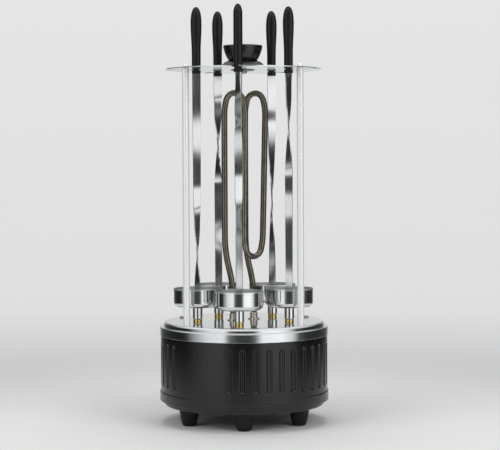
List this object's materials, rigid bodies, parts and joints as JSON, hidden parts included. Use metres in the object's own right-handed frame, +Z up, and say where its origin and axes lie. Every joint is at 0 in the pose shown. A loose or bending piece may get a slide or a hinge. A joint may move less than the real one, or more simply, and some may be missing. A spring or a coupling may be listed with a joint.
{
  "type": "electric skewer grill",
  "caption": "Upright electric kebab grill: twisted skewers hang from a notched disc and turn in drip cups around a standing heater, on a fluted drum with feet.",
  "frame": {"origin": "centre of the base on the floor", "axes": "+Z up along the drum's axis; the front skewer faces -Y; +X is to the right seen from the front"},
  "size_m": [0.2214, 0.223, 0.5411],
  "materials": {
    "black_moulded": "satin moulded black plastic",
    "black_enamel": "satin black enamel on pressed steel",
    "polished_steel": "polished stainless sheet",
    "cup_steel": "polished spun stainless",
    "post_chrome": "bright chromed rod",
    "blade_steel": "bright rolled stainless strip",
    "heater_steel": "heat-tinted steel sheath",
    "brass": "turned brass",
    "zinc_steel": "zinc-plated steel",
    "white_gear": "natural acetal",
    "ceramic": "unglazed steatite",
    "grommet_rubber": "black rubber",
    "block_plastic": "cream phenolic",
    "grip_black": "satin black phenolic grips",
    "knob_black": "semi-gloss black phenolic"
  },
  "bodies": {
    "base": {"bottom_cover": "black_enamel", "feet": "black_moulded", "drum_shell": "black_enamel", "lid": "polished_steel", "lid_screws": "zinc_steel", "lid_pillars": "zinc_steel", "gear_deck": "zinc_steel", "deck_pillars": "zinc_steel", "deck_screws": "zinc_steel", "cover_screws": "zinc_steel", "deck_nuts": "zinc_steel", "deck_bushes": "white_gear", "brass_bushes": "brass", "posts": "post_chrome", "heater_tube": "heater_steel", "heater_bushings": "zinc_steel", "heater_nuts": "zinc_steel", "heater_insulators": "ceramic", "heater_terminals": "zinc_steel", "motor": "zinc_steel", "motor_screws": "zinc_steel", "terminal_block": "block_plastic", "terminal_screws": "brass", "cord_grommet": "grommet_rubber"},
    "motor_drive": {"motor_shaft": "zinc_steel", "motor_pinion": "white_gear"},
    "disc_carrier": {"top_disc": "polished_steel", "disc_washer": "black_enamel", "knob": "knob_black", "knob_screw": "zinc_steel"},
    "spindle_front": {"spindle_front": "zinc_steel", "gear_front": "white_gear"},
    "cup_front": {"cup_front": "cup_steel"},
    "skewer_front": {"blade_front": "blade_steel", "handle_front": "grip_black"},
    "spindle_left": {"spindle_left": "zinc_steel", "gear_left": "white_gear"},
    "cup_left": {"cup_left": "cup_steel"},
    "skewer_left": {"blade_left": "blade_steel", "handle_left": "grip_black"},
    "spindle_rear_left": {"spindle_rear_left": "zinc_steel", "gear_rear_left": "white_gear"},
    "cup_rear_left": {"cup_rear_left": "cup_steel"},
    "skewer_rear_left": {"blade_rear_left": "blade_steel", "handle_rear_left": "grip_black"},
    "spindle_rear_right": {"spindle_rear_right": "zinc_steel", "gear_rear_right": "white_gear"},
    "cup_rear_right": {"cup_rear_right": "cup_steel"},
    "skewer_rear_right": {"blade_rear_right": "blade_steel", "handle_rear_right": "grip_black"},
    "spindle_right": {"spindle_right": "zinc_steel", "gear_right": "white_gear"},
    "cup_right": {"cup_right": "cup_steel"},
    "skewer_right": {"blade_right": "blade_steel", "handle_right": "grip_black"}
  },
  "joints": [
    {"name": "spindle_front_spin", "type": "hinge", "parent": "base", "child": "spindle_front", "pos_m": [-0.00585, -0.06192, 0.07], "axis": [0, 0, 1], "continuous": true},
    {"name": "spindle_left_spin", "type": "hinge", "parent": "base", "child": "spindle_left", "pos_m": [-0.06039, -0.01491, 0.07], "axis": [0, 0, 1], "continuous": true},
    {"name": "spindle_rear_left_spin", "type": "hinge", "parent": "base", "child": "spindle_rear_left", "pos_m": [-0.03401, 0.05208, 0.07], "axis": [0, 0, 1], "continuous": true},
    {"name": "spindle_rear_right_spin", "type": "hinge", "parent": "base", "child": "spindle_rear_right", "pos_m": [0.03794, 0.04929, 0.07], "axis": [0, 0, 1], "continuous": true},
    {"name": "spindle_right_spin", "type": "hinge", "parent": "base", "child": "spindle_right", "pos_m": [0.05905, -0.01955, 0.07], "axis": [0, 0, 1], "continuous": true},
    {"name": "cup_front_lift", "type": "slide", "parent": "spindle_front", "child": "cup_front", "axis": [0, 0, 1], "range_m": [0, 0.025]},
    {"name": "cup_left_lift", "type": "slide", "parent": "spindle_left", "child": "cup_left", "axis": [0, 0, 1], "range_m": [0, 0.025]},
    {"name": "cup_rear_left_lift", "type": "slide", "parent": "spindle_rear_left", "child": "cup_rear_left", "axis": [0, 0, 1], "range_m": [0, 0.025]},
    {"name": "cup_rear_right_lift", "type": "slide", "parent": "spindle_rear_right", "child": "cup_rear_right", "axis": [0, 0, 1], "range_m": [0, 0.025]},
    {"name": "cup_right_lift", "type": "slide", "parent": "spindle_right", "child": "cup_right", "axis": [0, 0, 1], "range_m": [0, 0.025]},
    {"name": "disc_lift", "type": "slide", "parent": "base", "child": "disc_carrier", "axis": [0, 0, 1], "range_m": [0, 0.3]},
    {"name": "skewer_front_spin", "type": "hinge", "parent": "disc_carrier", "child": "skewer_front", "pos_m": [-0.00585, -0.06192, 0.458], "axis": [0, 0, 1], "continuous": true},
    {"name": "skewer_left_spin", "type": "hinge", "parent": "disc_carrier", "child": "skewer_left", "pos_m": [-0.06039, -0.01491, 0.458], "axis": [0, 0, 1], "continuous": true},
    {"name": "skewer_rear_left_spin", "type": "hinge", "parent": "disc_carrier", "child": "skewer_rear_left", "pos_m": [-0.03401, 0.05208, 0.458], "axis": [0, 0, 1], "continuous": true},
    {"name": "skewer_rear_right_spin", "type": "hinge", "parent": "disc_carrier", "child": "skewer_rear_right", "pos_m": [0.03794, 0.04929, 0.458], "axis": [0, 0, 1], "continuous": true},
    {"name": "skewer_right_spin", "type": "hinge", "parent": "disc_carrier", "child": "skewer_right", "pos_m": [0.05905, -0.01955, 0.458], "axis": [0, 0, 1], "continuous": true},
    {"name": "motor_spin", "type": "hinge", "parent": "base", "child": "motor_drive", "pos_m": [-0.00776, 0.01189, 0.065], "axis": [0, 0, 1], "continuous": true}
  ],
  "couplings": [
    {"joint": "spindle_front_spin", "follows": "spindle_rear_left_spin", "ratio": 1},
    {"joint": "skewer_front_spin", "follows": "spindle_rear_left_spin", "ratio": 1},
    {"joint": "spindle_left_spin", "follows": "spindle_rear_left_spin", "ratio": -1},
    {"joint": "skewer_left_spin", "follows": "spindle_rear_left_spin", "ratio": -1},
    {"joint": "skewer_rear_left_spin", "follows": "spindle_rear_left_spin", "ratio": 1},
    {"joint": "spindle_rear_right_spin", "follows": "spindle_rear_left_spin", "ratio": -1},
    {"joint": "skewer_rear_right_spin", "follows": "spindle_rear_left_spin", "ratio": -1},
    {"joint": "spindle_right_spin", "follows": "spindle_rear_left_spin", "ratio": 1},
    {"joint": "skewer_right_spin", "follows": "spindle_rear_left_spin", "ratio": 1},
    {"joint": "motor_spin", "follows": "spindle_rear_left_spin", "ratio": -3}
  ]
}
